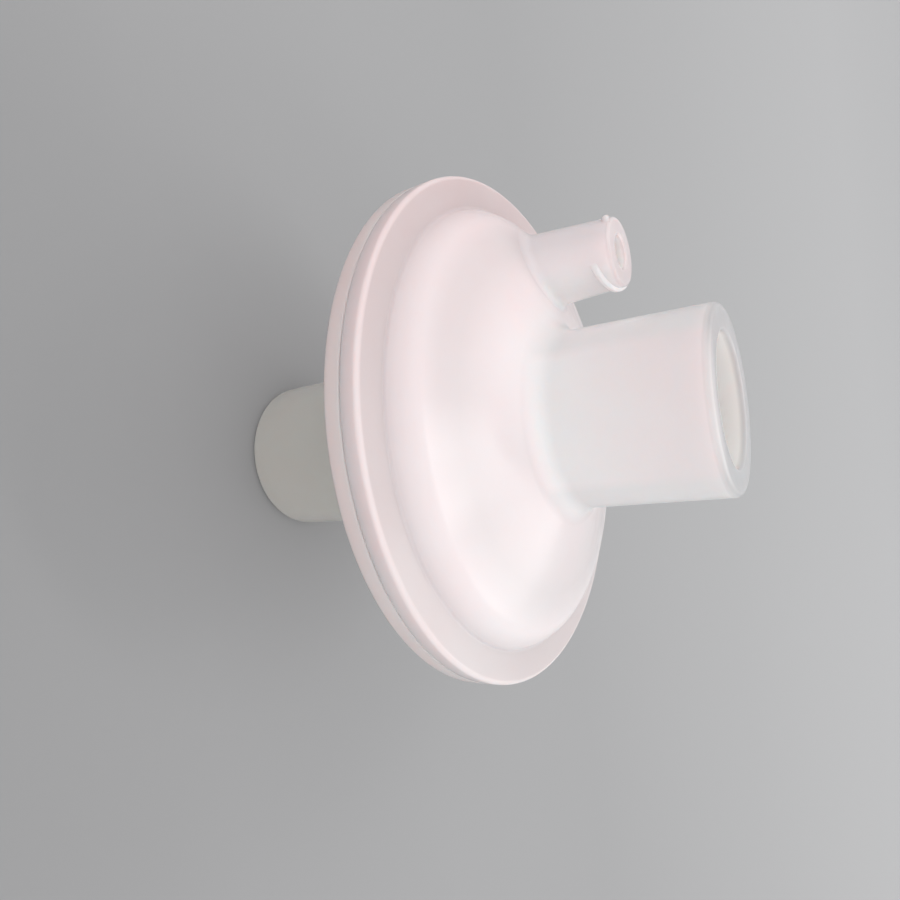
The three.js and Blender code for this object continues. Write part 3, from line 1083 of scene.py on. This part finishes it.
def make_sweep(look):
    """A sheet of grey board: a flat floor that bends up behind the filter."""
    bend = arc(SWEEP_BEND, SWEEP_RADIUS, SWEEP_RADIUS, 270, SWEEP_LAST_ANGLE, SWEEP_STEPS)
    profile = [(SWEEP_FRONT, 0.0), (SWEEP_BEND, 0.0), *bend[1:]]
    points = [(x, y, REAR_LOW.z + z) for x in (-SWEEP_HALF_WIDTH, SWEEP_HALF_WIDTH) for y, z in profile]
    n = len(profile)
    faces = [(i, n + i, n + i + 1, i + 1) for i in range(n - 1)]
    mesh = bpy.data.meshes.new("sweep")
    mesh.from_pydata(points, [], faces)
    mesh.polygons.foreach_set("use_smooth", [True] * len(mesh.polygons))
    mesh.materials.append(sweep_material(look))
    return new_object("sweep", mesh)


def add_lamp(scene, name, around, height, distance, long, wide, power):
    """A soft box that faces the filter, with its length along the strip's run."""
    around, height = math.radians(around), math.radians(height)
    reach = math.cos(height)
    away = Vector((reach * math.cos(around), reach * math.sin(around), math.sin(height)))
    across = away.cross(Vector(STRIP_RUN)).normalized()
    turn = Matrix((across.cross(away), across, away)).transposed().to_4x4()
    data = bpy.data.lights.new(name, "AREA")
    data.shape = "RECTANGLE"
    data.size, data.size_y = long, wide
    data.energy = power
    data.color = LAMP_COLOUR
    made = bpy.data.objects.new(name, data)
    scene.collection.objects.link(made)
    made.matrix_world = Matrix.Translation(Vector(LAMP_AIM) + distance * away) @ turn


def light_world(scene, look):
    """White light from all round, and the backdrop where the camera, gloss or clear plastic shows it."""
    world = bpy.data.worlds.new("Studio")
    scene.world = world
    world.use_nodes = True
    tree = world.node_tree
    light = tree.nodes["Background"]
    fill(light, {"Color": (1.0, 1.0, 1.0, 1), "Strength": WORLD_LEVEL})
    seen = new_node(tree, "ShaderNodeBackground", {"Color": (*look.backdrop, 1)})
    path = new_node(tree, "ShaderNodeLightPath").outputs
    choice = new_node(tree, "ShaderNodeMixShader")
    shown = path["Is Camera Ray"]
    for ray in ("Is Glossy Ray", "Is Transmission Ray"):
        either = new_node(tree, "ShaderNodeMath", operation="MAXIMUM")
        wire(tree, (shown, either, 0), (path[ray], either, 1))
        shown = either.outputs[0]
    wire(
        tree,
        (shown, choice, "Fac"),
        (light.outputs[0], choice, 1),
        (seen.outputs[0], choice, 2),
        (choice.outputs[0], tree.nodes["World Output"], "Surface"),
    )


def place_camera(scene, look):
    """A rolled camera that looks down at the front flange, which lies a little off its centre."""
    sizes = scene.filter_housing
    target = Vector((0, 0, parting_height(sizes) + Dome(sizes, FRONT_CONE).face))
    rise, roll = look.camera_height, look.camera_roll
    back = Vector((0, -math.cos(rise), math.sin(rise)))
    ahead = -back
    side = Vector((1, 0, 0))
    above = side.cross(ahead)
    c, s = math.cos(roll), math.sin(roll)
    basis = Matrix((c * side + s * above, c * above - s * side, ahead))
    aim = Vector((look.aim_right, look.aim_up, 1)).normalized()
    axes = Vector((0, 0, 1)).rotation_difference(aim).to_matrix() @ basis
    turn = Matrix((axes[0], axes[1], -axes[2])).transposed().to_4x4()
    data = bpy.data.cameras.new("camera")
    data.sensor_width = 36
    data.lens = look.focal
    data.clip_start = 0.002
    data.clip_end = 20
    camera = bpy.data.objects.new("camera", data)
    scene.collection.objects.link(camera)
    scene.camera = camera
    camera.matrix_world = Matrix.Translation(target + back * look.camera_distance) @ turn


class FILTER_PT_panel(bpy.types.Panel):
    """Lists the filter's pieces and sizes"""

    bl_label = "Breathing Filter"
    bl_idname = "FILTER_PT_panel"
    bl_space_type = "VIEW_3D"
    bl_region_type = "UI"
    bl_category = "Filter"

    def draw(self, context):
        for operator in OPERATORS:
            self.layout.operator(operator.bl_idname)
        for name, group in GROUPS.items():
            box = self.layout.box()
            box.label(text=group.__doc__)
            for key in group.__annotations__:
                box.prop(getattr(context.scene, name), key)


OPERATORS = (FILTER_OT_front_shell, FILTER_OT_rear_shell, FILTER_OT_filter_medium, FILTER_OT_stage)
GROUPS = {
    "filter_housing": HousingSizes,
    "filter_weld": WeldSizes,
    "filter_port": PortSizes,
    "filter_ribs": RibSizes,
    "filter_luer": SamplingSizes,
    "filter_plastic": PlasticLook,
    "filter_stage": StageLook,
}


def register():
    for cls in (*GROUPS.values(), *OPERATORS, FILTER_PT_panel):
        bpy.utils.register_class(cls)
    for name, group in GROUPS.items():
        setattr(bpy.types.Scene, name, bpy.props.PointerProperty(type=group))


def unregister():
    for name in GROUPS:
        delattr(bpy.types.Scene, name)
    for cls in reversed((*GROUPS.values(), *OPERATORS, FILTER_PT_panel)):
        bpy.utils.unregister_class(cls)


def main():
    register()
    bpy.ops.filter.front_shell()
    bpy.ops.filter.rear_shell()
    bpy.ops.filter.filter_medium()
    bpy.ops.filter.stage()


if __name__ == "__main__":
    main()
